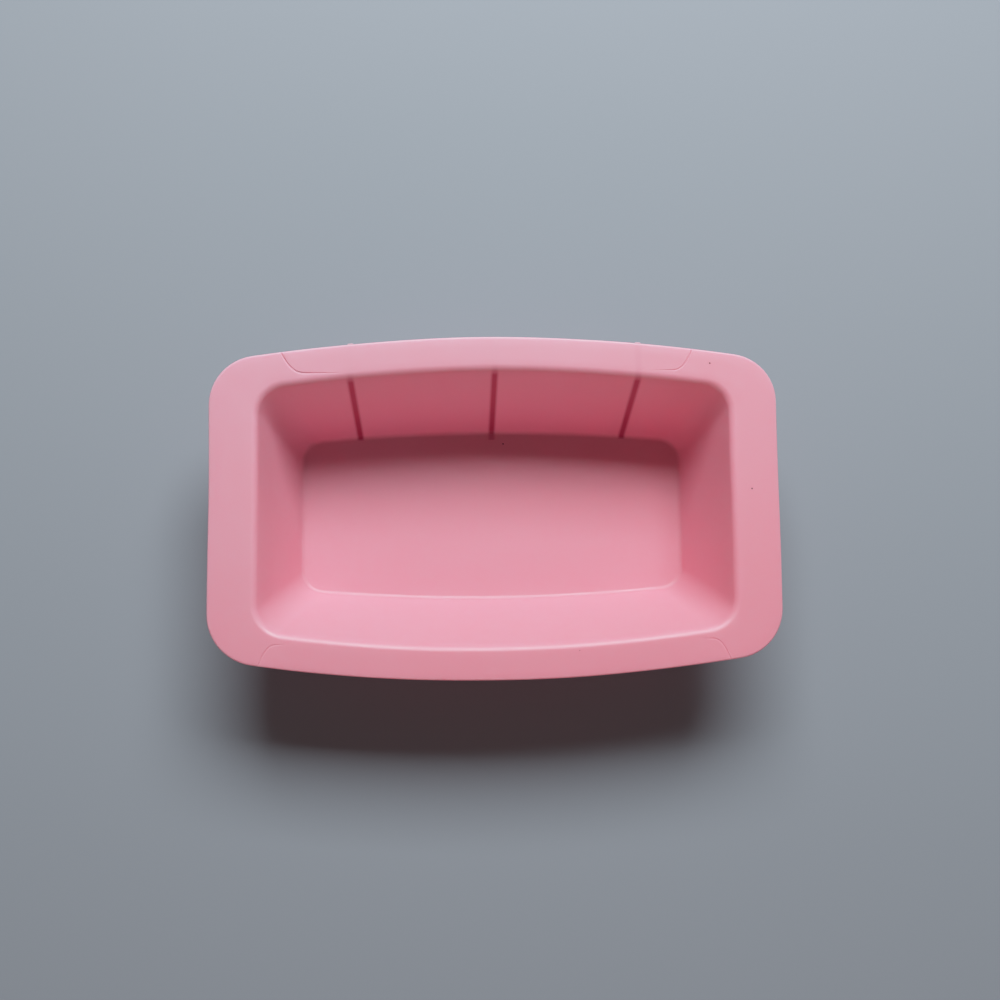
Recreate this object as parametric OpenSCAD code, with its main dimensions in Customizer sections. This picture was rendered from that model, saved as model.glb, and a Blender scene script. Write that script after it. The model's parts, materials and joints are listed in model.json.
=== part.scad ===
// Loaf mould for poured soap: one flexible silicone moulding, drawn as its moulded sections.
// Millimetres, +Z up. The origin is the centre of the flat base. X runs along the loaf.

/* [Opening] */
// Length of the cavity at the top
opening_l = 229; // [200:1:250]
// Width of the cavity at the top, across the middle
opening_w = 133; // [120:1:140]
// How far each long side bows outwards at the top
opening_bow = 8.8; // [4:0.1:12]
// Corner radius of the cavity at the top
opening_corner_r = 14; // [12:0.5:20]

/* [Cavity] */
// Length of the cavity floor
floor_l = 202; // [180:1:210]
// Width of the cavity floor, across the middle
floor_w = 89; // [80:1:95]
// How far each long side of the floor bows outwards
floor_bow = 5; // [3:0.1:8]
// Corner radius of the cavity floor
floor_corner_r = 12; // [10:0.5:14]
// Depth of the cavity
cavity_depth = 60; // [50:1:70]

/* [Silicone] */
// Thickness of the four walls, measured level
wall_t = 2.1; // [1.5:0.1:3]
// Thickness of the floor
floor_t = 2; // [1.5:0.1:3]
// Thickness of the rim
rim_t = 2.4; // [1.8:0.1:3]
// Width of the rounded lip where the rim rolls into the cavity
lip = 3; // [2:0.1:4]
// Width of the rounded corner where the walls meet the floor
toe = 1.8; // [1:0.1:3]

/* [Rim] */
// Length over the rim
rim_l = 274.5; // [265:0.5:290]
// Width over the rim, across the middle
rim_w = 165; // [158:0.5:175]
// How far each long edge of the rim bows outwards
rim_bow = 12; // [6:0.1:14]
// Corner radius of the rim
rim_corner_r = 24; // [20:0.5:28]
// Where the creases of the rim leave the lip on the back edge
back_crease_in = 92; // [86:1:98]
// Where the creases of the rim reach the outside on the back edge
back_crease_out = 102; // [98:1:108]
// Where the creases of the rim leave the lip on the front edge
front_crease_in = 101; // [90:1:102]
// Where the creases of the rim reach the outside on the front edge
front_crease_out = 110; // [104:1:112]

/* [Ribs] */
// Distance between neighbouring ribs
rib_pitch = 70; // [50:1:75]
// Thickness of a rib
rib_t = 3; // [2:0.1:4]
// How far a rib stands out at its foot
rib_foot = 2.4; // [1.5:0.1:4]
// How far a rib stands out just under the rim, where it widens into a bracket
rib_w = 3.5; // [2.5:0.1:6]
// Gap between the top of a rib and the edge of the rim
rib_setback = 0.4; // [0.2:0.1:3]

/* [Hidden] */

silicone = [0.87, 0.61, 0.68];
top_z = floor_t + cavity_depth;
rim_under_z = top_z - rim_t;
wall_levels = 6;       // rows of facets up each wall
side_steps = 32;       // facets along a long side
corner_steps = 10;     // facets round a corner
bend_steps = 5;        // facets round the lip, and round the toe
bracket_share = 0.25;  // share of a rib's height that its bracket takes

// A ring is one level line round the mould: [half length, half width, radius of the bowed side,
// corner radius, height].
function side_radius(half_l, bow) = (half_l * half_l + bow * bow) / (2 * bow);
function ring(l, w, bow, r, z) = [l / 2, w / 2, side_radius(l / 2, bow), r, z];
function grow(g, d) = [g[0] + d, g[1] + d, g[2] + d, g[3] + d, g[4]];
function at_height(g, z) = [g[0], g[1], g[2], g[3], z];
function mix(g, h, t) = g * (1 - t) + h * t;
function bend(g, tip, h) =
    [for (i = [0:bend_steps]) let (t = i / bend_steps) mix(mix(g, tip, t), mix(tip, h, t), t)];

floor_ring = ring(floor_l, floor_w, floor_bow, floor_corner_r, floor_t);
opening_ring = ring(opening_l, opening_w, opening_bow, opening_corner_r, top_z);
rim_ring = ring(rim_l, rim_w, rim_bow, rim_corner_r, top_z);
function inner_ring(z) = mix(floor_ring, opening_ring, (z - floor_t) / cavity_depth);
function outer_ring(z) = grow(inner_ring(z), wall_t);

// Points on a ring. t runs from 0 to 1 along a stretch, counter-clockwise from above, and the
// corner and the side are those at the back right.
function side_centre_y(g) = g[1] - g[2];
function corner_x(g) = g[0] - g[3];
function corner_y(g) = side_centre_y(g) + sqrt(pow(g[2] - g[3], 2) - pow(corner_x(g), 2));
function corner_angle(g) = atan2(corner_y(g) - side_centre_y(g), corner_x(g));
function end_point(g, t) = [g[0], corner_y(g) * (2 * t - 1), g[4]];
function corner_point(g, t) =
    let (a = t * corner_angle(g))
    [corner_x(g) + g[3] * cos(a), corner_y(g) + g[3] * sin(a), g[4]];
function side_point(g, t) =
    let (a = corner_angle(g) + t * (180 - 2 * corner_angle(g)))
    [g[2] * cos(a), side_centre_y(g) + g[2] * sin(a), g[4]];
function side_y(g, x) = side_centre_y(g) + sqrt(g[2] * g[2] - x * x);
function flip_y(points) = [for (p = points) [p[0], -p[1]]];
function reversed(points) = [for (i = [len(points) - 1:-1:0]) points[i]];

// Cross-section of the walls, as the rings that its corners follow round the mould: up the inside
// from the floor to the rim, and the matching rings of the outside.
function level(low, high, i) = low + (high - low) * i / wall_levels;
toe_z = floor_t + toe;
inner_section = concat(
    bend(grow(floor_ring, -toe), floor_ring, inner_ring(toe_z)),
    [for (i = [1:wall_levels - 1]) inner_ring(level(toe_z, top_z - lip, i))],
    bend(inner_ring(top_z - lip), opening_ring, grow(opening_ring, lip))
);
outer_section = concat(
    bend(at_height(grow(floor_ring, -toe), 0), outer_ring(0), outer_ring(toe_z)),
    [for (i = [1:wall_levels - 1]) outer_ring(level(toe_z, rim_under_z - lip, i))],
    bend(
        outer_ring(rim_under_z - lip), outer_ring(rim_under_z),
        at_height(grow(opening_ring, lip), rim_under_z)
    )
);
wall_section = concat(inner_section, reversed(outer_section));

// Closed skin over a row of stations. Each station is a loop of points whose second half runs
// back beside its first, so that the two ends of the skin are strips of facets.
module loft(stations) {
    loop = len(stations[0]);
    last = (len(stations) - 1) * loop;
    sides = [
        for (s = [0:len(stations) - 2], i = [0:loop - 1])
            let (j = (i + 1) % loop, a = s * loop)
            [[a + i, a + loop + i, a + loop + j], [a + i, a + loop + j, a + j]]
    ];
    ends = [
        for (i = [0:loop / 2 - 2])
            let (a = i, b = i + 1, c = loop - 2 - i, d = loop - 1 - i)
            [[a, b, c], [a, c, d], [last + c, last + b, last + a], [last + d, last + c, last + a]]
    ];
    polyhedron(
        points = [for (s = stations, p = s) p],
        faces = concat([for (q = sides, f = q) f], [for (q = ends, f = q) f])
    );
}

// Sections of the tub, at the back and on the right: the others are their mirror images.
module floor_plate() {
    quarter = [for (i = [0:corner_steps]) corner_point(grow(floor_ring, -toe), i / corner_steps)];
    side = [for (i = [1:side_steps - 1]) side_point(grow(floor_ring, -toe), i / side_steps)];
    half = [for (p = concat(quarter, side, reversed([for (q = quarter) [-q[0], q[1]]]))) [p[0], p[1]]];
    color(silicone) linear_extrude(floor_t) polygon(concat(half, reversed(flip_y(half))));
}

module long_wall() {
    color(silicone)
        loft([for (i = [0:side_steps]) [for (g = wall_section) side_point(g, i / side_steps)]]);
}

module end_wall() {
    color(silicone) loft([for (t = [0, 1]) [for (g = wall_section) end_point(g, t)]]);
}

module corner_wall() {
    color(silicone)
        loft([for (i = [0:corner_steps]) [for (g = wall_section) corner_point(g, i / corner_steps)]]);
}

// Flat sections of the rim, outside the rolled lip.
lip_ring = grow(opening_ring, lip);

function side_run(g, from_x, to_x) =
    [for (i = [0:side_steps]) let (x = from_x + (to_x - from_x) * i / side_steps) [x, side_y(g, x)]];
function without_first(points) = [for (i = [1:len(points) - 1]) points[i]];
function tangent_x(g) = side_point(g, 0)[0];
function corner_run(g) =
    [for (i = [0:corner_steps]) let (p = corner_point(g, i / corner_steps)) [p[0], p[1]]];
// From the front crease, round the right-hand end, to the back crease.
function end_run(g, front_x, back_x) = concat(
    flip_y(reversed(without_first(side_run(g, tangent_x(g), front_x)))),
    flip_y(reversed(corner_run(g))),
    corner_run(g),
    without_first(side_run(g, tangent_x(g), back_x))
);

module rim_plate(outline) {
    color(silicone) translate([0, 0, rim_under_z]) linear_extrude(rim_t) polygon(outline);
}

module long_rim(crease_in, crease_out) {
    rim_plate(concat(
        side_run(rim_ring, crease_out, -crease_out),
        side_run(lip_ring, -crease_in, crease_in)
    ));
}

module grip() {
    rim_plate(concat(
        end_run(rim_ring, front_crease_out, back_crease_out),
        reversed(end_run(lip_ring, front_crease_in, back_crease_in))
    ));
}

// Rib at the back: it rises from its foot on the wall and spreads into a bracket under the rim.
module rib(x) {
    wall_edge = [for (g = outer_section) if (g[4] >= toe_z) g];
    tip = [side_y(rim_ring, x) - rib_setback, rim_under_z];
    knee = [side_y(outer_ring(rim_under_z), x) + rib_w, rim_under_z - rib_w];
    foot = [side_y(outer_ring(toe_z), x) + rib_foot, toe_z];
    shoulder = mix(knee, foot, bracket_share);
    free_edge = concat(
        bend(tip, knee, shoulder),
        [for (i = [1:wall_levels]) mix(shoulder, foot, i / wall_levels)]
    );
    color(silicone)
        loft([
            for (side_x = [x - rib_t / 2, x + rib_t / 2])
                concat(
                    [for (g = wall_edge) [side_x, side_y(g, side_x), g[4]]],
                    [for (p = free_edge) [side_x, p[0], p[1]]]
                )
        ]);
}

module at_front() { mirror([0, 1, 0]) children(); }
module at_left() { mirror([1, 0, 0]) children(); }

floor_plate();  // floor_panel
long_wall();  // back_wall
at_front() long_wall();  // front_wall
end_wall();  // right_end_wall
at_left() end_wall();  // left_end_wall
corner_wall();  // back_right_corner
at_left() corner_wall();  // back_left_corner
at_front() corner_wall();  // front_right_corner
at_left() at_front() corner_wall();  // front_left_corner
long_rim(back_crease_in, back_crease_out);  // back_rim
at_front() long_rim(front_crease_in, front_crease_out);  // front_rim
grip();  // right_grip
at_left() grip();  // left_grip
rib(-rib_pitch);  // back_rib_left
rib(0);  // back_rib_middle
rib(rib_pitch);  // back_rib_right
at_front() rib(-rib_pitch);  // front_rib_left
at_front() rib(0);  // front_rib_middle
at_front() rib(rib_pitch);  // front_rib_right
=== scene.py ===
"""Looks of a silicone loaf mould for poured soap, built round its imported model.

The mould is one seamless skin of translucent pink silicone, with its upright ribs as pieces of
their own on the outside of the two long walls. Sizes are in metres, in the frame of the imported
model: +X along the loaf, +Y towards the back, +Z up, and the origin under the middle of the base.
"""

import json
import logging
import math
from collections.abc import Callable
from dataclasses import dataclass, field
from enum import Enum

import bmesh
import bpy
from mathutils import Matrix, Vector

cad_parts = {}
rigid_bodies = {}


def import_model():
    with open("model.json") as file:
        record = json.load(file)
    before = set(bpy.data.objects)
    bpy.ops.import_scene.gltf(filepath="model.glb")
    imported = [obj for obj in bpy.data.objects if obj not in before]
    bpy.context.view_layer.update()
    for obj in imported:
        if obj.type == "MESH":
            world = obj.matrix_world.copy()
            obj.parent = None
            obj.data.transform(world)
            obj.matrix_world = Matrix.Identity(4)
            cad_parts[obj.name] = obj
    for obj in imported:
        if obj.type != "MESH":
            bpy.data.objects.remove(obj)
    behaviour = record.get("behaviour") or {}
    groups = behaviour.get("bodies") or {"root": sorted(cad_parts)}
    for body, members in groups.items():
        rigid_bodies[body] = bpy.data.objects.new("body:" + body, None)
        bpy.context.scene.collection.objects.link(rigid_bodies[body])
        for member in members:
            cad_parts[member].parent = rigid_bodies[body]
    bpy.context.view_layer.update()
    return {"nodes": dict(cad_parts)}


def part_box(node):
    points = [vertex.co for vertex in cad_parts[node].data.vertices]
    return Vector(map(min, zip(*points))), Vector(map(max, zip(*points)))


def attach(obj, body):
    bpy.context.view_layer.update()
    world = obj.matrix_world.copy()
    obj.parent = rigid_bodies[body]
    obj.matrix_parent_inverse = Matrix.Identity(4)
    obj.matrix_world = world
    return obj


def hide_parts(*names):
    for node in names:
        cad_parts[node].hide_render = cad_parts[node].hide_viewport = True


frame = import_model()

MM = 0.001
# Past this angle between two faces, the edge between them is shaded sharp.
SHARPEST_SMOOTH = math.radians(35)
log = logging.getLogger("loaf_mould")

Rgb = tuple[float, float, float]


class Side(Enum):
    """The two long sides of the mould, each with its direction along Y."""

    BACK = 1
    FRONT = -1


# ---------------------------------------------------------------------------------------------
# Modelling by hand
# ---------------------------------------------------------------------------------------------


def deselect_objects() -> None:
    """Leave object mode with nothing selected."""
    if bpy.context.object and bpy.context.object.mode != "OBJECT":
        bpy.ops.object.mode_set(mode="OBJECT")
    bpy.ops.object.select_all(action="DESELECT")


def activate(piece: bpy.types.Object) -> None:
    """Select one object and make it the active one.

    Args:
        piece: The object to work on.
    """
    deselect_objects()
    piece.select_set(True)
    bpy.context.view_layer.objects.active = piece


def start_point(name: str, place: Vector) -> bpy.types.Object:
    """Start a new piece as a single point, and stay in edit mode on it.

    Args:
        name: The new piece's name.
        place: Where the point lies.

    Returns:
        The new object, at the origin.
    """
    deselect_objects()
    bpy.ops.mesh.primitive_plane_add(size=MM, location=(0, 0, 0))
    piece = bpy.context.object
    piece.name = piece.data.name = name
    bpy.ops.object.mode_set(mode="EDIT")
    bpy.ops.mesh.select_mode(type="VERT")
    bpy.ops.mesh.merge(type="CENTER")
    bpy.ops.transform.translate(value=place)
    return piece


def add_point(place: Vector) -> None:
    """Add one more point to the mesh being edited, and leave only that selected.

    Args:
        place: Where the point lies.
    """
    bpy.ops.mesh.select_all(action="DESELECT")
    bpy.ops.mesh.primitive_plane_add(size=MM, location=(0, 0, 0))
    bpy.ops.mesh.merge(type="CENTER")
    bpy.ops.transform.translate(value=place)


def draw_line(step: Vector) -> None:
    """Draw a straight edge from the selected point.

    Args:
        step: From the point to the far end of the edge.
    """
    bpy.ops.mesh.extrude_vertices_move(TRANSFORM_OT_translate={"value": step})


def draw_arc(centre: Vector, angle: float, steps: int) -> None:
    """Draw a level arc from the selected point, counter-clockwise from above.

    Args:
        centre: The arc's centre.
        angle: How far round it goes, in radians.
        steps: How many edges it has.
    """
    bpy.ops.mesh.spin(steps=steps, angle=-angle, center=centre, axis=(0, 0, 1))


def select_edges(piece: bpy.types.Object, wanted: Callable[[bmesh.types.BMEdge], bool]) -> None:
    """Select, in edit mode, the edges that pass a test and nothing else.

    Args:
        piece: The object being edited.
        wanted: The test.
    """
    bpy.ops.mesh.select_mode(type="EDGE")
    bpy.ops.mesh.select_all(action="DESELECT")
    mesh = bmesh.from_edit_mesh(piece.data)
    for edge in mesh.edges:
        if wanted(edge):
            edge.select_set(True)
    mesh.select_flush_mode()
    bmesh.update_edit_mesh(piece.data)


def apply_modifier(piece: bpy.types.Object, kind: str, **settings: object) -> None:
    """Add a modifier to a piece and apply it at once.

    Args:
        piece: The object to change.
        kind: The modifier's type.
        **settings: Its settings by name.
    """
    activate(piece)
    modifier = piece.modifiers.new(kind.title(), kind)
    for name, value in settings.items():
        setattr(modifier, name, value)
    bpy.ops.object.modifier_apply(modifier=modifier.name)


def turn_outwards(piece: bpy.types.Object) -> None:
    """Merge doubled points and make every face look out of the closed piece.

    Args:
        piece: The object to clean.
    """
    activate(piece)
    bpy.ops.object.mode_set(mode="EDIT")
    bpy.ops.mesh.select_all(action="SELECT")
    bpy.ops.mesh.remove_doubles(threshold=0.005 * MM)
    bpy.ops.mesh.normals_make_consistent(inside=False)
    bpy.ops.object.mode_set(mode="OBJECT")


# ---------------------------------------------------------------------------------------------
# Outlines
# ---------------------------------------------------------------------------------------------


@dataclass(frozen=True)
class Spacing:
    """How many edges each stretch of an outline has, the same on every outline of the mould.

    Args:
        end: Along a straight end.
        corner: Round a corner, an even number.
        side: Along a bowed side.
    """

    end: int = 30
    corner: int = 12
    side: int = 66

    @property
    def end_span(self) -> int:
        """Edges from the middle of one corner to the middle of the next, across an end."""
        return self.end + self.corner


SPACING = Spacing()


@dataclass(frozen=True)
class Outline:
    """A level line round the mould: straight ends, bowed sides and round corners.

    Args:
        half_length: From the middle to an end.
        half_width: From the middle to a side, where it is widest.
        side_radius: Radius of the bowed sides.
        corner_radius: Radius of the corners.
        height: Height above the base.
    """

    half_length: float
    half_width: float
    side_radius: float
    corner_radius: float
    height: float

    @classmethod
    def bowed(
        cls, half_length: float, half_width: float, bow: float, corner_radius: float, height: float
    ) -> "Outline":
        """Make an outline from how far its sides bow outwards.

        Args:
            half_length: From the middle to an end.
            half_width: From the middle to a side, where it is widest.
            bow: How far the sides bow outwards between the ends.
            corner_radius: Radius of the corners.
            height: Height above the base.

        Returns:
            The outline.
        """
        side_radius = (half_length**2 + bow**2) / (2 * bow)
        return cls(half_length, half_width, side_radius, corner_radius, height)

    def grown(self, distance: float) -> "Outline":
        """The outline that lies a distance outside this one, at the same height."""
        return Outline(
            self.half_length + distance,
            self.half_width + distance,
            self.side_radius + distance,
            self.corner_radius + distance,
            self.height,
        )

    def at(self, height: float) -> "Outline":
        """The same outline at another height."""
        return Outline(
            self.half_length, self.half_width, self.side_radius, self.corner_radius, height
        )

    def towards(self, other: "Outline", height: float) -> "Outline":
        """The outline on the straight walls between this one and another, at a height.

        Args:
            other: The outline at the walls' other edge.
            height: Height above the base.

        Returns:
            The outline there.
        """
        share = (height - self.height) / (other.height - self.height)

        def between(a: float, b: float) -> float:
            """The value at that share of the way from a to b."""
            return a + (b - a) * share

        return Outline(
            between(self.half_length, other.half_length),
            between(self.half_width, other.half_width),
            between(self.side_radius, other.side_radius),
            between(self.corner_radius, other.corner_radius),
            height,
        )

    @property
    def side_centre(self) -> float:
        """Y of the centre of the back side's arc."""
        return self.half_width - self.side_radius

    @property
    def corner_centre(self) -> tuple[float, float]:
        """X and Y of the centre of the back right corner."""
        x = self.half_length - self.corner_radius
        reach = self.side_radius - self.corner_radius
        return x, self.side_centre + math.sqrt(reach**2 - x**2)

    @property
    def corner_angle(self) -> float:
        """How far round a corner goes, in radians."""
        x, y = self.corner_centre
        return math.atan2(y - self.side_centre, x)

    def side_y(self, x: float) -> float:
        """Distance from the middle line to a bowed side at a place along the loaf."""
        return self.side_centre + math.sqrt(self.side_radius**2 - x**2)

    def start(self) -> Vector:
        """Where the drawing of the outline starts: the front of the right-hand end."""
        return Vector((self.half_length, -self.corner_centre[1], self.height))

    def draw(self, piece: bpy.types.Object) -> None:
        """Draw the outline from the selected point, which is at its start, and select it all.

        Args:
            piece: The object being edited.
        """
        x, y = self.corner_centre
        side_angle = math.pi - 2 * self.corner_angle
        for turn in (1, -1):
            draw_line(Vector((0, 2 * turn * y, 0)))
            draw_arc(Vector((turn * x, turn * y, self.height)), self.corner_angle, SPACING.corner)
            draw_arc(Vector((0, turn * self.side_centre, self.height)), side_angle, SPACING.side)
            draw_arc(Vector((-turn * x, turn * y, self.height)), self.corner_angle, SPACING.corner)
        bpy.ops.mesh.select_linked()
        bpy.ops.mesh.remove_doubles(threshold=0.01 * MM)
        nearly_end = 0.95 * 2 * y
        select_edges(piece, lambda edge: not edge.link_faces and edge.calc_length() > nearly_end)
        bpy.ops.mesh.subdivide(number_cuts=SPACING.end - 1)


# ---------------------------------------------------------------------------------------------
# Finishes
# ---------------------------------------------------------------------------------------------


def new_group(name: str, inputs: dict[str, float], outputs: tuple[str, ...]) -> bpy.types.NodeTree:
    """Start a shader node group of plain numbers.

    Args:
        name: The group's name.
        inputs: The input sockets and their usual values.
        outputs: The output sockets.

    Returns:
        The group's node tree, with its input and output nodes.
    """
    tree = bpy.data.node_groups.new(name, "ShaderNodeTree")
    for label, value in inputs.items():
        socket = tree.interface.new_socket(label, in_out="INPUT", socket_type="NodeSocketFloat")
        socket.default_value = value
    for label in outputs:
        tree.interface.new_socket(label, in_out="OUTPUT", socket_type="NodeSocketFloat")
    tree.nodes.new("NodeGroupInput")
    tree.nodes.new("NodeGroupOutput")
    return tree


def add_node(tree: bpy.types.NodeTree, kind: str, **settings: object) -> bpy.types.Node:
    """Add a node to a tree and set its properties.

    Args:
        tree: The node tree.
        kind: The node's type, without its ShaderNode prefix.
        **settings: Its properties by name.

    Returns:
        The node.
    """
    node = tree.nodes.new("ShaderNode" + kind)
    for name, value in settings.items():
        setattr(node, name, value)
    return node


def noise(
    tree: bpy.types.NodeTree, place: bpy.types.NodeSocket, scale: float, detail: float
) -> bpy.types.Node:
    """Add a noise texture that reads a place.

    Args:
        tree: The node tree.
        place: The socket that gives the place.
        scale: Features in a metre.
        detail: How many finer layers it has.

    Returns:
        The noise node.
    """
    node = add_node(tree, "TexNoise")
    node.inputs["Scale"].default_value = scale
    node.inputs["Detail"].default_value = detail
    tree.links.new(place, node.inputs["Vector"])
    return node


def ranged(
    tree: bpy.types.NodeTree, value: bpy.types.NodeSocket, low: float, high: float,
    to_low: float = 0.0, to_high: float = 1.0,
) -> bpy.types.NodeSocket:
    """Stretch a value from one range to another, and hold it there.

    Args:
        tree: The node tree.
        value: The socket to read.
        low: What becomes to_low.
        high: What becomes to_high.
        to_low: The new value at the low end.
        to_high: The new value at the high end.

    Returns:
        The socket with the new value.
    """
    node = add_node(tree, "MapRange")
    tree.links.new(value, node.inputs["Value"])
    limits = {"From Min": low, "From Max": high, "To Min": to_low, "To Max": to_high}
    for label, number in limits.items():
        node.inputs[label].default_value = number
    return node.outputs["Result"]


def times(
    tree: bpy.types.NodeTree, first: bpy.types.NodeSocket, second: bpy.types.NodeSocket
) -> bpy.types.NodeSocket:
    """Multiply two values.

    Args:
        tree: The node tree.
        first: One socket.
        second: The other.

    Returns:
        The socket with their product.
    """
    node = add_node(tree, "Math", operation="MULTIPLY")
    tree.links.new(first, node.inputs[0])
    tree.links.new(second, node.inputs[1])
    return node.outputs["Value"]


def moulded_grain_group() -> bpy.types.NodeTree:
    """Build the faint surface of cast silicone: a matt grain over slow, shallow swells.

    Returns:
        A group that takes Grain and Swell, two heights in metres, and gives their sum as Height.
    """
    tree = new_group("Moulded_Grain", {"Grain": 0.00001, "Swell": 0.0001}, ("Height",))
    take, give = tree.nodes["Group Input"], tree.nodes["Group Output"]
    place = add_node(tree, "TexCoord").outputs["Object"]
    matt = noise(tree, place, scale=2600.0, detail=2.0)
    slow = noise(tree, place, scale=28.0, detail=1.0)
    grain = times(tree, matt.outputs["Fac"], take.outputs["Grain"])
    swell = times(tree, slow.outputs["Fac"], take.outputs["Swell"])
    total = add_node(tree, "Math", operation="ADD")
    tree.links.new(grain, total.inputs[0])
    tree.links.new(swell, total.inputs[1])
    tree.links.new(total.outputs["Value"], give.inputs["Height"])
    return tree


def dust_group() -> bpy.types.NodeTree:
    """Build the few dark specks that cling to silicone.

    Returns:
        A group that takes Share, how many of the cells hold a speck, and Spread, cells in a
        metre, and gives a Mask of the specks.
    """
    tree = new_group("Clinging_Specks", {"Share": 0.02, "Spread": 60.0}, ("Mask",))
    take, give = tree.nodes["Group Input"], tree.nodes["Group Output"]
    cells = add_node(tree, "TexVoronoi", feature="F1")
    tree.links.new(add_node(tree, "TexCoord").outputs["Object"], cells.inputs["Vector"])
    tree.links.new(take.outputs["Spread"], cells.inputs["Scale"])
    near = ranged(tree, cells.outputs["Distance"], low=0.018, high=0.030, to_low=1.0, to_high=0.0)
    pick = add_node(tree, "SeparateColor")
    tree.links.new(cells.outputs["Color"], pick.inputs["Color"])
    held = add_node(tree, "Math", operation="LESS_THAN")
    tree.links.new(pick.outputs["Red"], held.inputs[0])
    tree.links.new(take.outputs["Share"], held.inputs[1])
    tree.links.new(times(tree, near, held.outputs["Value"]), give.inputs["Mask"])
    return tree


def painted_light_group() -> bpy.types.NodeTree:
    """Build painted light that is paler towards the back left corner, and the smears of handled
    silicone.

    Returns:
        A group that takes nothing and gives Broad, painted light that is strongest towards the
        back left corner, with faint random patches, and Fine, smears some millimetres wide, both
        from 0 to 1.
    """
    tree = new_group("Painted_Light_And_Smears", {}, ("Painted_Light", "Fine"))
    give = tree.nodes["Group Output"]
    place = add_node(tree, "TexCoord").outputs["Object"]
    # Painted light: the colour turns paler and milkier towards the back left, where light falls.
    slope = add_node(tree, "VectorMath", operation="DOT_PRODUCT")
    slope.inputs[1].default_value = (-0.4, 1.0, 0.0)
    tree.links.new(place, slope.inputs[0])
    drift = noise(tree, place, scale=14.0, detail=2.0)
    patches = ranged(tree, drift.outputs["Fac"], low=0.3, high=0.7, to_low=-0.02, to_high=0.02)
    light_slope = add_node(tree, "Math", operation="ADD")
    tree.links.new(slope.outputs["Value"], light_slope.inputs[0])
    tree.links.new(patches, light_slope.inputs[1])
    light_share = ranged(tree, light_slope.outputs["Value"], low=-0.08, high=0.10)
    tree.links.new(light_share, give.inputs["Painted_Light"])
    smears = noise(tree, place, scale=130.0, detail=4.0)
    fine = ranged(tree, smears.outputs["Fac"], low=0.3, high=0.7)
    tree.links.new(fine, give.inputs["Fine"])
    return tree


def rib_shade_group() -> bpy.types.NodeTree:
    """Build the painted shade of the back wall, where a rib behind blocks the light through it.

    Returns:
        A group that takes the ribs' Pitch and Half_Width, the wall's nearest Y and the heights
        Low and High of the bands' ends, and gives their Mask.
    """
    usual = {"Pitch": 0.07, "Half_Width": 0.0015, "Near_Y": 0.04, "Low": 0.0, "High": 0.06}
    tree = new_group("Painted_Rib_Shade", usual, ("Mask",))
    take, give = tree.nodes["Group Input"], tree.nodes["Group Output"]
    place = add_node(tree, "SeparateXYZ")
    tree.links.new(add_node(tree, "TexCoord").outputs["Object"], place.inputs["Vector"])
    beside = add_node(tree, "Math", operation="WRAP")
    tree.links.new(place.outputs["X"], beside.inputs[0])
    for number, share in ((1, 0.5), (2, -0.5)):
        limit = add_node(tree, "Math", operation="MULTIPLY")
        limit.inputs[1].default_value = share
        tree.links.new(take.outputs["Pitch"], limit.inputs[0])
        tree.links.new(limit.outputs["Value"], beside.inputs[number])
    away = add_node(tree, "Math", operation="ABSOLUTE")
    tree.links.new(beside.outputs["Value"], away.inputs[0])
    mask = None
    # Each bound is what has to be larger, what has to be smaller, and how far the band fades there.
    for larger, smaller, soft in (
        (take.outputs["Half_Width"], away.outputs["Value"], 1.5 * MM),
        (place.outputs["Y"], take.outputs["Near_Y"], 0.4 * MM),
        (place.outputs["Z"], take.outputs["Low"], 0.8 * MM),
        (take.outputs["High"], place.outputs["Z"], 5.0 * MM),
    ):
        past = add_node(tree, "Math", operation="SUBTRACT")
        tree.links.new(larger, past.inputs[0])
        tree.links.new(smaller, past.inputs[1])
        within = ranged(tree, past.outputs["Value"], -soft / 2, soft / 2)
        mask = within if mask is None else times(tree, mask, within)
    tree.links.new(mask, give.inputs["Mask"])
    return tree


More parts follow.
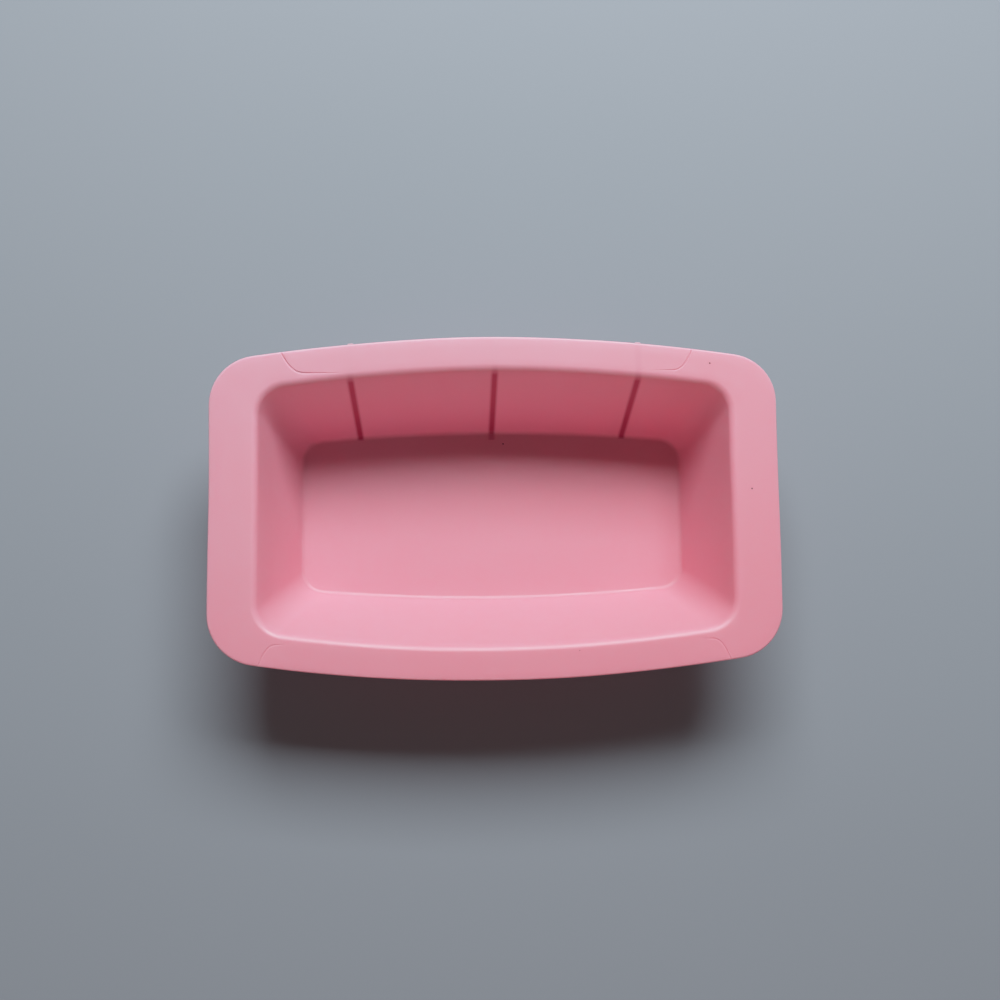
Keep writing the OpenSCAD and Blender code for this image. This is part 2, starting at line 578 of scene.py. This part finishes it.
@dataclass(frozen=True)
class SiliconeFinish:
    """Translucent coloured silicone with a satin, moulded surface.

    Args:
        name: The material's name.
        colour: The colour of the rubber in daylight.
        pale_light_colour: The colour of the painted light, paler and milkier, strongest towards the back
            left.
        deep: Its colour in the painted shade where a rib behind blocks the light through the wall.
        rib_shade_strength: How much of that painted shade shows.
        speck: The colour of the dust that clings to it.
        roughness: Roughness of its cleaner and of its duller patches.
        bending: Its refractive index.
        shine: How strongly its surface reflects, where 0.5 is what the refractive index gives.
        reach: How far red, green and blue light travel in it.
        grain: Height of the matt grain.
        swell: Height of the slow swells.
        speck_share: Share of the places for a speck that hold one.
    """

    name: str
    colour: Rgb = (0.85, 0.335, 0.42)
    pale_light_colour: Rgb = (0.78, 0.385, 0.48)
    deep: Rgb = (0.46, 0.04, 0.11)
    rib_shade_strength: float = 1.0
    speck: Rgb = (0.10, 0.03, 0.035)
    roughness: tuple[float, float] = (0.40, 0.48)
    bending: float = 1.41
    shine: float = 0.8
    reach: Rgb = (2.8 * MM, 2.6 * MM, 2.8 * MM)
    grain: float = 0.006 * MM
    swell: float = 0.10 * MM
    speck_share: float = 0.5

    def material(
        self, groups: dict[str, bpy.types.NodeTree], bands: dict[str, float]
    ) -> bpy.types.Material:
        """Build the material.

        Args:
            groups: The shared node groups by name.
            bands: Where the back wall gets painted shade from the ribs behind it, as the inputs of the
                Painted_Rib_Shade group.

        Returns:
            The material.
        """
        made = bpy.data.materials.new(self.name)
        made.use_nodes = True
        tree = made.node_tree
        shader = tree.nodes["Principled BSDF"]
        shader.subsurface_method = "RANDOM_WALK"
        shader.inputs["Subsurface Weight"].default_value = 1.0
        shader.inputs["Subsurface Scale"].default_value = 1.0
        shader.inputs["Subsurface Radius"].default_value = self.reach
        shader.inputs["IOR"].default_value = self.bending
        shader.inputs["Specular IOR Level"].default_value = self.shine
        light_and_smears, dust, relief, rib_shade = (
            add_node(tree, "Group", node_tree=groups[name])
            for name in ("light_and_smears", "dust", "grain", "rib_shade")
        )
        dust.inputs["Share"].default_value = self.speck_share
        relief.inputs["Grain"].default_value = self.grain
        relief.inputs["Swell"].default_value = self.swell
        for label, value in bands.items():
            rib_shade.inputs[label].default_value = value
        # Painted light: paler and milkier towards the back left, with faint random patches.
        lit_colour = self.mix(tree, light_and_smears.outputs["Painted_Light"], self.colour, self.pale_light_colour)
        # Painted shade: deep crimson strips on the back wall, where the ribs behind it block the light
        # that comes through.
        band = ranged(tree, rib_shade.outputs["Mask"], 0.0, 1.0, 0.0, self.rib_shade_strength)
        rib_shaded = self.mix(tree, band, lit_colour, self.deep)
        specked = self.mix(tree, dust.outputs["Mask"], rib_shaded, self.speck)
        tree.links.new(specked, shader.inputs["Base Color"])
        smears = ranged(tree, light_and_smears.outputs["Fine"], 0.0, 1.0, *self.roughness)
        tree.links.new(smears, shader.inputs["Roughness"])
        bump = add_node(tree, "Bump")
        bump.inputs["Distance"].default_value = 1.0
        tree.links.new(relief.outputs["Height"], bump.inputs["Height"])
        tree.links.new(bump.outputs["Normal"], shader.inputs["Normal"])
        return made

    @staticmethod
    def mix(
        tree: bpy.types.NodeTree, share: bpy.types.NodeSocket,
        first: Rgb | bpy.types.NodeSocket, second: Rgb | bpy.types.NodeSocket,
    ) -> bpy.types.NodeSocket:
        """Mix two colours.

        Args:
            tree: The node tree.
            share: The share of the second colour.
            first: A colour, or the socket that gives it.
            second: Another.

        Returns:
            The socket with the mixed colour.
        """
        node = add_node(tree, "Mix", data_type="RGBA")
        tree.links.new(share, node.inputs["Factor"])
        # The node's sockets for numbers and vectors come before its colour sockets.
        colour_inputs, colour_output = node.inputs[6:8], node.outputs[2]
        for socket, value in zip(colour_inputs, (first, second)):
            if isinstance(value, bpy.types.NodeSocket):
                tree.links.new(value, socket)
            else:
                socket.default_value = (*value, 1.0)
        return colour_output


# ---------------------------------------------------------------------------------------------
# The mould
# ---------------------------------------------------------------------------------------------


@dataclass
class MouldForm:
    """The outlines and thicknesses of the mould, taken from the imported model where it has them.

    Args:
        lip: Width of the rounded lip round the opening.
        toe: Width of the rounded edge of the floor.
        wall: Thickness of the walls, measured level.
        opening_bow: How far the long sides of the opening bow outwards.
        opening_corner: Corner radius of the opening.
        floor_bow: How far the long sides of the floor bow outwards.
        floor_corner: Corner radius of the floor.
        rim_bow: How far the long edges of the rim bow outwards.
        rim_corner: Corner radius of the rim.
    """

    lip: float = 3.0 * MM
    toe: float = 1.8 * MM
    wall: float = 2.1 * MM
    opening_bow: float = 8.8 * MM
    opening_corner: float = 14.0 * MM
    floor_bow: float = 5.0 * MM
    floor_corner: float = 12.0 * MM
    rim_bow: float = 12.0 * MM
    rim_corner: float = 24.0 * MM
    floor: Outline = field(init=False)
    opening: Outline = field(init=False)
    rim: Outline = field(init=False)
    rim_under: float = field(init=False)

    def __post_init__(self) -> None:
        """Work out the three main outlines."""
        floor_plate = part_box("floor_panel")[1]
        rim_low, rim_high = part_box("back_rim")
        self.rim_under = rim_low.z
        self.floor = Outline.bowed(
            floor_plate.x + self.toe,
            floor_plate.y + self.toe,
            self.floor_bow,
            self.floor_corner,
            floor_plate.z,
        )
        self.opening = Outline.bowed(
            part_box("right_end_wall")[1].x - self.lip,
            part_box("back_wall")[1].y - self.lip,
            self.opening_bow,
            self.opening_corner,
            rim_high.z,
        )
        self.rim = Outline.bowed(
            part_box("right_grip")[1].x, rim_high.y, self.rim_bow, self.rim_corner, rim_high.z
        )

    def outside(self, height: float) -> Outline:
        """The outside of the walls at a height."""
        return self.floor.towards(self.opening, height).grown(self.wall)


@dataclass
class MouldSkin:
    """The seamless skin of the mould: floor, walls, lip and rim in one closed shell.

    Args:
        form: The mould's outlines.
        largest_bend: Width of the widest rounded edge, which the others are shares of.
        bend_steps: Rows of faces round each rounded edge.
        wall_rows: Rows of faces up a wall.
        rim_rows: Rows of faces across the rim.
        lip_edge: Width of the rounding of the lip.
        rim_edge: Width of the rounding of the rim's outer edge.
        base_edge: Width of the rounding of the base's outer edge.
        plate_margin: From the edge of a flat plate to the regular faces in its middle.
        lift: How far an outline is raised while rows on one level are joined.
    """

    form: MouldForm
    largest_bend: float = 3.0 * MM
    bend_steps: int = 6
    wall_rows: int = 8
    rim_rows: int = 3
    lip_edge: float = 2.7 * MM
    rim_edge: float = 0.8 * MM
    base_edge: float = 2.8 * MM
    plate_margin: float = 5.5 * MM
    lift: float = 4.0 * MM

    def build(self) -> bpy.types.Object:
        """Model the skin.

        Returns:
            The finished object.
        """
        form = self.form
        base = form.outside(0.0)
        under_lip = form.outside(form.rim_under)
        plate_under = base.grown(-self.plate_margin)
        skin = start_point("mould_skin", plate_under.start())
        plate_under.draw(skin)
        self.fill_plate(skin)
        for outline, rows, bend, level in (
            (base, 1, self.base_edge, True),
            (under_lip, self.wall_rows, self.lip_edge, False),
            (form.rim.at(form.rim_under), self.rim_rows, self.rim_edge, True),
            (form.rim, 1, self.rim_edge, False),
            (form.opening, self.rim_rows, self.lip_edge, True),
            (form.floor, self.wall_rows, form.toe, False),
            (form.floor.grown(-self.plate_margin), 1, 0.0, True),
        ):
            self.add_outline(skin, outline, rows, bend, level)
        self.select_open_loops()
        self.fill_plate(skin)
        bpy.ops.object.mode_set(mode="OBJECT")
        turn_outwards(skin)
        apply_modifier(
            skin, "BEVEL", limit_method="WEIGHT", width=self.largest_bend, segments=self.bend_steps,
            use_clamp_overlap=False, loop_slide=False,
        )
        return skin

    def add_outline(
        self, skin: bpy.types.Object, outline: Outline, rows: int, bend: float, level: bool
    ) -> None:
        """Draw the next outline and join it to the last one by rows of faces.

        Two outlines at one height are joined with the new one raised, so that they face each
        other, and the rows are then pressed flat.

        Args:
            skin: The object being edited.
            outline: The outline.
            rows: How many rows of faces lead to it.
            bend: Width of the rounding that its edge gets later.
            level: Whether it is at the height of the last outline.
        """
        bpy.ops.mesh.select_mode(type="VERT")
        raised = outline.at(outline.height + self.lift)
        add_point(raised.start())
        raised.draw(skin)
        select_edges(skin, lambda edge: not edge.link_faces)
        bpy.ops.transform.edge_bevelweight(value=bend / self.largest_bend)
        if not level:
            bpy.ops.transform.translate(value=(0, 0, -self.lift))
        self.select_open_loops()
        bpy.ops.mesh.bridge_edge_loops(number_cuts=rows - 1, interpolation="LINEAR")
        if level:
            bpy.ops.transform.resize(value=(1, 1, 0), center_override=(0, 0, outline.height))

    @staticmethod
    def select_open_loops() -> None:
        """Select the open edges of the skin and any outline that no face uses yet."""
        bpy.ops.mesh.select_mode(type="EDGE")
        bpy.ops.mesh.select_all(action="DESELECT")
        bpy.ops.mesh.select_non_manifold(
            extend=False, use_wire=True, use_boundary=True, use_multi_face=False,
            use_non_contiguous=False, use_verts=False,
        )

    @staticmethod
    def fill_plate(skin: bpy.types.Object) -> None:
        """Fill the selected outline with a grid whose corners lie in the middle of its corners.

        Args:
            skin: The object being edited.
        """
        bpy.ops.mesh.select_mode(type="VERT")
        mesh = bmesh.from_edit_mesh(skin.data)
        chosen = [vert for vert in mesh.verts if vert.select]
        reach = max(vert.co.x for vert in chosen), max(vert.co.y for vert in chosen)
        corner = min(chosen, key=lambda vert: (vert.co.x - reach[0]) ** 2 + (vert.co.y - reach[1]) ** 2)
        mesh.select_history.clear()
        mesh.select_history.add(corner)
        bmesh.update_edit_mesh(skin.data)
        bpy.ops.mesh.fill_grid(span=SPACING.end_span, offset=0)


@dataclass(frozen=True)
class Slack:
    """The slight unevenness of soft silicone, none at the base and most at the rim.

    Args:
        reach: How far apart its highest and lowest places are.
        spread: How far it is from one swell to the next.
        rise: Height over which it grows from nothing to its whole.
    """

    reach: float = 0.8 * MM
    spread: float = 70.0 * MM
    rise: float = 62.0 * MM

    def loosen(self, piece: bpy.types.Object) -> None:
        """Move a piece's points a little, by the same rule for every piece.

        Args:
            piece: The object to change.
        """
        freedom = piece.vertex_groups.new(name="Freedom")
        for vert in piece.data.vertices:
            freedom.add([vert.index], min(1.0, max(0.0, vert.co.z / self.rise)), "REPLACE")
        swells = bpy.data.textures.get("Slack_Swells") or bpy.data.textures.new("Slack_Swells", "CLOUDS")
        swells.cloud_type = "COLOR"
        swells.noise_depth = 0
        swells.noise_scale = self.spread
        apply_modifier(
            piece, "DISPLACE", texture=swells, texture_coords="LOCAL", direction="RGB_TO_XYZ",
            strength=self.reach, mid_level=0.5, vertex_group=freedom.name,
        )
        piece.vertex_groups.clear()


@dataclass(frozen=True)
class Crease:
    """One of the fine creases that part the rim's narrow side from its wide end.

    Args:
        side: The long side it is on.
        edge_x: Where it meets the rim's outer edge.
        turn_x: Where it turns to run along the lip.
        fade_x: Where it fades out.
        turn_gap: Distance from the opening to the turn.
        fade_gap: Distance from the opening to where it fades out.
        radius: Radius of the round tool that it is cut with.
        depth: How deep it is where it is deepest.
        run_in: How far outside the rim the tool starts.
        fade: Width of the tool where the crease fades out, as a share of its whole width.
    """

    side: Side
    edge_x: float
    turn_x: float
    fade_x: float
    turn_gap: float = 4.6 * MM
    fade_gap: float = 2.2 * MM
    radius: float = 0.42 * MM
    depth: float = 0.30 * MM
    run_in: float = 1.5 * MM
    fade: float = 0.1

    def cut(self, skin: bpy.types.Object, form: MouldForm) -> None:
        """Cut the crease into the rim.

        Args:
            skin: The object to cut.
            form: The mould's outlines.
        """
        along = math.copysign(1.0, self.fade_x - self.edge_x)
        edge_y = form.rim.side_y(self.edge_x) + self.run_in
        turn_y = form.opening.side_y(self.turn_x) + self.turn_gap
        fade_y = form.opening.side_y(self.fade_x) + self.fade_gap
        turn_reach = along * abs(self.turn_x - self.edge_x) / 2
        stations = (
            ((self.edge_x, edge_y), (self.edge_x + turn_reach / 2, (edge_y + turn_y) / 2), 1.0),
            ((self.turn_x, turn_y), (self.turn_x + turn_reach, turn_y), 1.0),
            ((self.fade_x, fade_y), (self.fade_x + turn_reach, fade_y), self.fade),
        )
        deselect_objects()
        bpy.ops.curve.primitive_bezier_curve_add(location=(0, 0, 0))
        tool = bpy.context.object
        tool.data.bevel_depth = self.radius
        tool.data.use_fill_caps = True
        line = tool.data.splines[0]
        line.bezier_points.add(1)
        height = form.rim.height + self.radius - self.depth
        for point, (place, ahead, width) in zip(line.bezier_points, stations):
            point.handle_left_type = point.handle_right_type = "FREE"
            behind = (2 * place[0] - ahead[0], 2 * place[1] - ahead[1])
            point.co = (place[0], self.side.value * place[1], height)
            point.handle_right = (ahead[0], self.side.value * ahead[1], height)
            point.handle_left = (behind[0], self.side.value * behind[1], height)
            point.radius = width
        bpy.ops.object.convert(target="MESH")
        turn_outwards(tool)
        apply_modifier(skin, "BOOLEAN", object=tool, operation="DIFFERENCE", solver="EXACT")
        bpy.data.objects.remove(tool)


@dataclass
class Rib:
    """An upright rib on the outside of a long wall, which spreads into a bracket under the rim.

    Args:
        node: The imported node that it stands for.
        side: The long side it is on.
        form: The mould's outlines.
        lap: How far its top stands out past the rim's edge.
        gap: Clearance to the wall, across which light passes between the two.
        sink: How far it is let into the rim.
        foot: How far its foot stands out from the wall.
        knee: How far it stands out, and how far down, where the bracket's edge turns.
        bracket: Size of the rounding of that turn.
        bracket_steps: Rows of faces round that turn.
        edge: Size of the rounding of its long edges.
        edge_steps: Rows of faces round those edges.
        rim_cover: Thickness of rim left above its top.
    """

    node: str
    side: Side
    form: MouldForm
    lap: float
    gap: float = 0.1 * MM
    sink: float = 0.5 * MM
    foot: float = 2.4 * MM
    knee: float = 3.5 * MM
    bracket: float = 9.0 * MM
    bracket_steps: int = 10
    edge: float = 0.6 * MM
    edge_steps: int = 3
    rim_cover: float = 0.7 * MM

    def build(self) -> bpy.types.Object:
        """Model the rib.

        Returns:
            The finished object.
        """
        low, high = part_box(self.node)
        middle = (low.x + high.x) / 2
        under, foot_z = self.form.rim_under, low.z
        foot_y = self.form.outside(foot_z).side_y(middle)
        top_y = self.form.outside(under).side_y(middle)
        edge_y = self.form.rim.side_y(middle)
        turn = (top_y + self.knee, under - self.knee)
        corners = [
            (foot_y + self.gap, foot_z),
            (top_y + self.gap, under + self.sink),
            (edge_y - 2 * self.sink, under + self.sink),
            (edge_y - 2 * self.sink, self.form.rim.height - self.rim_cover),
            (edge_y + self.lap, self.form.rim.height - self.rim_cover),
            (edge_y + self.lap, under - self.sink / 2),
            turn,
            (min(abs(low.y), abs(high.y)) + self.foot, foot_z),
        ]
        near_y, far_y = (self.form.outside(foot_z).side_y(x) for x in (low.x, high.x))
        slant = near_y - foot_y
        places = [Vector((low.x, self.side.value * (y + slant), z)) for y, z in corners]
        rib = start_point(self.node + "_web", places[0])
        for before, after in zip(places, places[1:]):
            draw_line(after - before)
        bpy.ops.mesh.select_all(action="SELECT")
        bpy.ops.mesh.edge_face_add()
        across = (high.x - low.x, self.side.value * (far_y - near_y), 0)
        bpy.ops.mesh.extrude_region_move(TRANSFORM_OT_translate={"value": across})
        bend = places[corners.index(turn)]
        select_edges(rib, lambda edge: all((vert.co - bend).yz.length < MM for vert in edge.verts))
        bpy.ops.mesh.bevel(offset=self.bracket, segments=self.bracket_steps, affect="EDGES")
        select_edges(rib, self.is_free_edge)
        bpy.ops.mesh.bevel(offset=self.edge, segments=self.edge_steps, affect="EDGES")
        bpy.ops.object.mode_set(mode="OBJECT")
        turn_outwards(rib)
        return rib

    def is_free_edge(self, edge: bmesh.types.BMEdge) -> bool:
        """Whether an edge runs along the rib's free side, clear of the wall and the rim."""
        first, second = (vert.co for vert in edge.verts)
        if abs(first.x - second.x) > 0.01 * MM:
            return False
        clear = 2 * self.gap
        return all(
            abs(place.y) > self.form.outside(place.z).side_y(place.x) + clear
            and (place.z < self.form.rim_under or abs(place.y) > self.form.rim.side_y(place.x))
            for place in (first, second)
        )


@dataclass
class LoafMould:
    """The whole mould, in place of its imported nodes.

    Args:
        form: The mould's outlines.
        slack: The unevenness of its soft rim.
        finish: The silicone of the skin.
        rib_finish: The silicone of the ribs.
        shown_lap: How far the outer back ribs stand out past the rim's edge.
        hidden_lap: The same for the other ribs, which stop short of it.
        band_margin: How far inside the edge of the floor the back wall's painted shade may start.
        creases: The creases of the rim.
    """

    form: MouldForm = field(default_factory=MouldForm)
    slack: Slack = Slack()
    finish: SiliconeFinish = SiliconeFinish("Pink_Silicone")
    # The ribs' own silicone takes none of the painted shade.
    rib_finish: SiliconeFinish = SiliconeFinish("Pink_Silicone_Rib", rib_shade_strength=0.0)
    shown_lap: float = 0.5 * MM
    hidden_lap: float = -0.4 * MM
    band_margin: float = 4.0 * MM
    creases: tuple[Crease, ...] = (
        Crease(Side.BACK, -104 * MM, -92 * MM, -70 * MM, radius=0.55 * MM, depth=0.45 * MM),
        Crease(Side.BACK, 97 * MM, 87 * MM, 66 * MM),
        *(
            Crease(
                Side.FRONT, edge_x, turn_x, fade_x,
                turn_gap=5.2 * MM, fade_gap=4.2 * MM, radius=0.6 * MM, depth=0.22 * MM,
            )
            for edge_x, turn_x, fade_x in (
                (-114 * MM, -105 * MM, -97 * MM),
                (112 * MM, 103 * MM, 95 * MM),
            )
        ),
    )

    def build(self) -> list[bpy.types.Object]:
        """Model and dress the skin and the ribs.

        Returns:
            The finished pieces.
        """
        groups = {
            "light_and_smears": painted_light_group(),
            "dust": dust_group(),
            "grain": moulded_grain_group(),
            "rib_shade": rib_shade_group(),
        }
        bands = self.rib_bands()
        skin = MouldSkin(self.form).build()
        for crease in self.creases:
            crease.cut(skin, self.form)
        skin_nodes = [node for node in frame["nodes"] if "_rib_" not in node]
        pieces = [self.settle(skin, self.finish.material(groups, bands), skin_nodes)]
        rib_material = self.rib_finish.material(groups, bands)
        for side in Side:
            for place in ("left", "middle", "right"):
                node = f"{side.name.lower()}_rib_{place}"
                shown = side is Side.BACK and place != "middle"
                lap = self.shown_lap if shown else self.hidden_lap
                rib = Rib(node, side, self.form, lap).build()
                pieces.append(self.settle(rib, rib_material, [node]))
        return pieces

    def rib_bands(self) -> dict[str, float]:
        """Measure where the back wall gets painted shade from the ribs behind it.

        Returns:
            The inputs of the Painted_Rib_Shade group.
        """
        low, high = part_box("back_rib_right")
        return {
            "Pitch": (low.x + high.x) / 2,
            "Half_Width": (high.x - low.x) / 2,
            "Near_Y": self.form.floor.half_width - self.band_margin,
            "Low": self.form.floor.height,
            "High": self.form.rim_under,
        }

    def settle(
        self, piece: bpy.types.Object, material: bpy.types.Material, nodes: list[str]
    ) -> bpy.types.Object:
        """Loosen, smooth and dress a piece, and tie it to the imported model.

        Args:
            piece: The object.
            material: Its material.
            nodes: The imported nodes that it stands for.

        Returns:
            The same object.
        """
        self.slack.loosen(piece)
        activate(piece)
        bpy.ops.object.shade_smooth_by_angle(angle=SHARPEST_SMOOTH)
        piece.data.materials.clear()
        piece.data.materials.append(material)
        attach(piece, "root")
        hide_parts(*nodes)
        return piece


# ---------------------------------------------------------------------------------------------
# Studio
# ---------------------------------------------------------------------------------------------


@dataclass(frozen=True)
class SoftLight:
    """A rectangular light that faces the mould.

    Args:
        name: The light's name.
        place: Where it hangs.
        size: Its width and height.
        power: Its power in watts.
        colour: Its colour.
    """

    name: str
    place: tuple[float, float, float]
    size: tuple[float, float]
    power: float
    colour: Rgb

    def hang(self) -> None:
        """Hang the light."""
        deselect_objects()
        bpy.ops.object.light_add(type="AREA", location=self.place)
        lamp = bpy.context.object
        lamp.name = self.name
        lamp.rotation_euler = (-Vector(self.place)).to_track_quat("-Z", "Y").to_euler()
        lamp.data.shape = "RECTANGLE"
        lamp.data.size, lamp.data.size_y = self.size
        lamp.data.energy = self.power
        lamp.data.color = self.colour


@dataclass(frozen=True)
class Studio:
    """A pale floor, a soft window behind the mould, a dim warm room, and the camera above.

    Args:
        floor_colour: Colour of the floor.
        floor_roughness: Roughness of the floor.
        floor_size: Length of the floor's sides.
        floor_gap: How far the floor lies under the base.
        lights: The lights.
        fill_colour: Colour of the even light.
        fill_strength: Strength of the even light.
        camera_place: Where the camera is.
        camera_tilt: How the camera is turned about X, Y and Z, in radians.
        camera_lens: Focal length in millimetres.
        camera_sensor: Width of the sensor in millimetres.
        camera_clip: The nearest distance that the camera sees.
        tone_shoulder: Brightnesses, and how bright each is shown.
    """

    floor_colour: Rgb = (0.274, 0.318, 0.362)
    floor_roughness: float = 0.75
    floor_size: float = 20.0
    floor_gap: float = 0.05 * MM
    lights: tuple[SoftLight, ...] = (
        SoftLight("window_light", (0.11, 1.045, 1.155), (1.20, 0.62), 32.5, (0.98, 0.99, 1.0)),
        SoftLight("room_light", (0.0, -1.6, 0.5), (1.6, 0.6), 5.5, (1.0, 0.56, 0.51)),
    )
    fill_colour: Rgb = (1.0, 0.84, 0.80)
    fill_strength: float = 0.07
    camera_place: tuple[float, float, float] = (-0.0196, -0.0383, 0.5771)
    camera_tilt: tuple[float, float, float] = (0.0802, -0.0412, -0.0127)
    camera_lens: float = 38.84
    camera_sensor: float = 36.0
    camera_clip: float = 10 * MM
    tone_shoulder: tuple[tuple[float, float], ...] = ((0.45, 0.45), (0.7, 0.66), (1.0, 0.80))

    def build(self) -> None:
        """Make the floor, the lights and the camera."""
        self.lay_floor()
        for light in self.lights:
            light.hang()
        self.fill_room()
        self.place_camera()
        self.soften_highlights()

    def soften_highlights(self) -> None:
        """Give the picture a plain view, with its brightest tones held back a little."""
        view = bpy.context.scene.view_settings
        view.view_transform = "Standard"
        view.use_curve_mapping = True
        tones = view.curve_mapping
        # Red, green and blue have a curve each, and the last one is shared by all three.
        *_, shared = tones.curves
        shared.points[-1].location = self.tone_shoulder[-1]
        for given, shown in self.tone_shoulder[:-1]:
            shared.points.new(given, shown)
        tones.update()

    def lay_floor(self) -> None:
        """Lay the plain pale floor."""
        deselect_objects()
        bpy.ops.mesh.primitive_plane_add(size=self.floor_size, location=(0, 0, -self.floor_gap))
        floor = bpy.context.object
        floor.name = "studio_floor"
        made = bpy.data.materials.new("Pale_Floor")
        made.use_nodes = True
        shader = made.node_tree.nodes["Principled BSDF"]
        shader.inputs["Base Color"].default_value = (*self.floor_colour, 1.0)
        shader.inputs["Roughness"].default_value = self.floor_roughness
        floor.data.materials.append(made)

    def fill_room(self) -> None:
        """Fill the room with even light."""
        room = bpy.data.worlds.new("Room")
        room.use_nodes = True
        sky = room.node_tree.nodes["Background"]
        sky.inputs["Color"].default_value = (*self.fill_colour, 1.0)
        sky.inputs["Strength"].default_value = self.fill_strength
        bpy.context.scene.world = room

    def place_camera(self) -> None:
        """Place the camera over the mould."""
        deselect_objects()
        bpy.ops.object.camera_add(location=self.camera_place)
        camera = bpy.context.object
        about_x, about_y, about_z = self.camera_tilt
        tip = Matrix.Rotation(about_y, 3, "Y") @ Matrix.Rotation(about_x, 3, "X")
        turn = tip @ Matrix.Rotation(about_z, 3, "Z")
        camera.rotation_euler = turn.to_euler()
        camera.data.sensor_width = self.camera_sensor
        camera.data.lens = self.camera_lens
        camera.data.clip_start = self.camera_clip
        bpy.context.scene.camera = camera


def main() -> None:
    """Build the mould and its studio, and report every piece."""
    logging.basicConfig(level=logging.INFO, format="%(message)s")
    for piece in LoafMould().build():
        log.info("%s: %d faces", piece.name, len(piece.data.polygons))
    Studio().build()
    deselect_objects()


if __name__ == "__main__":
    main()
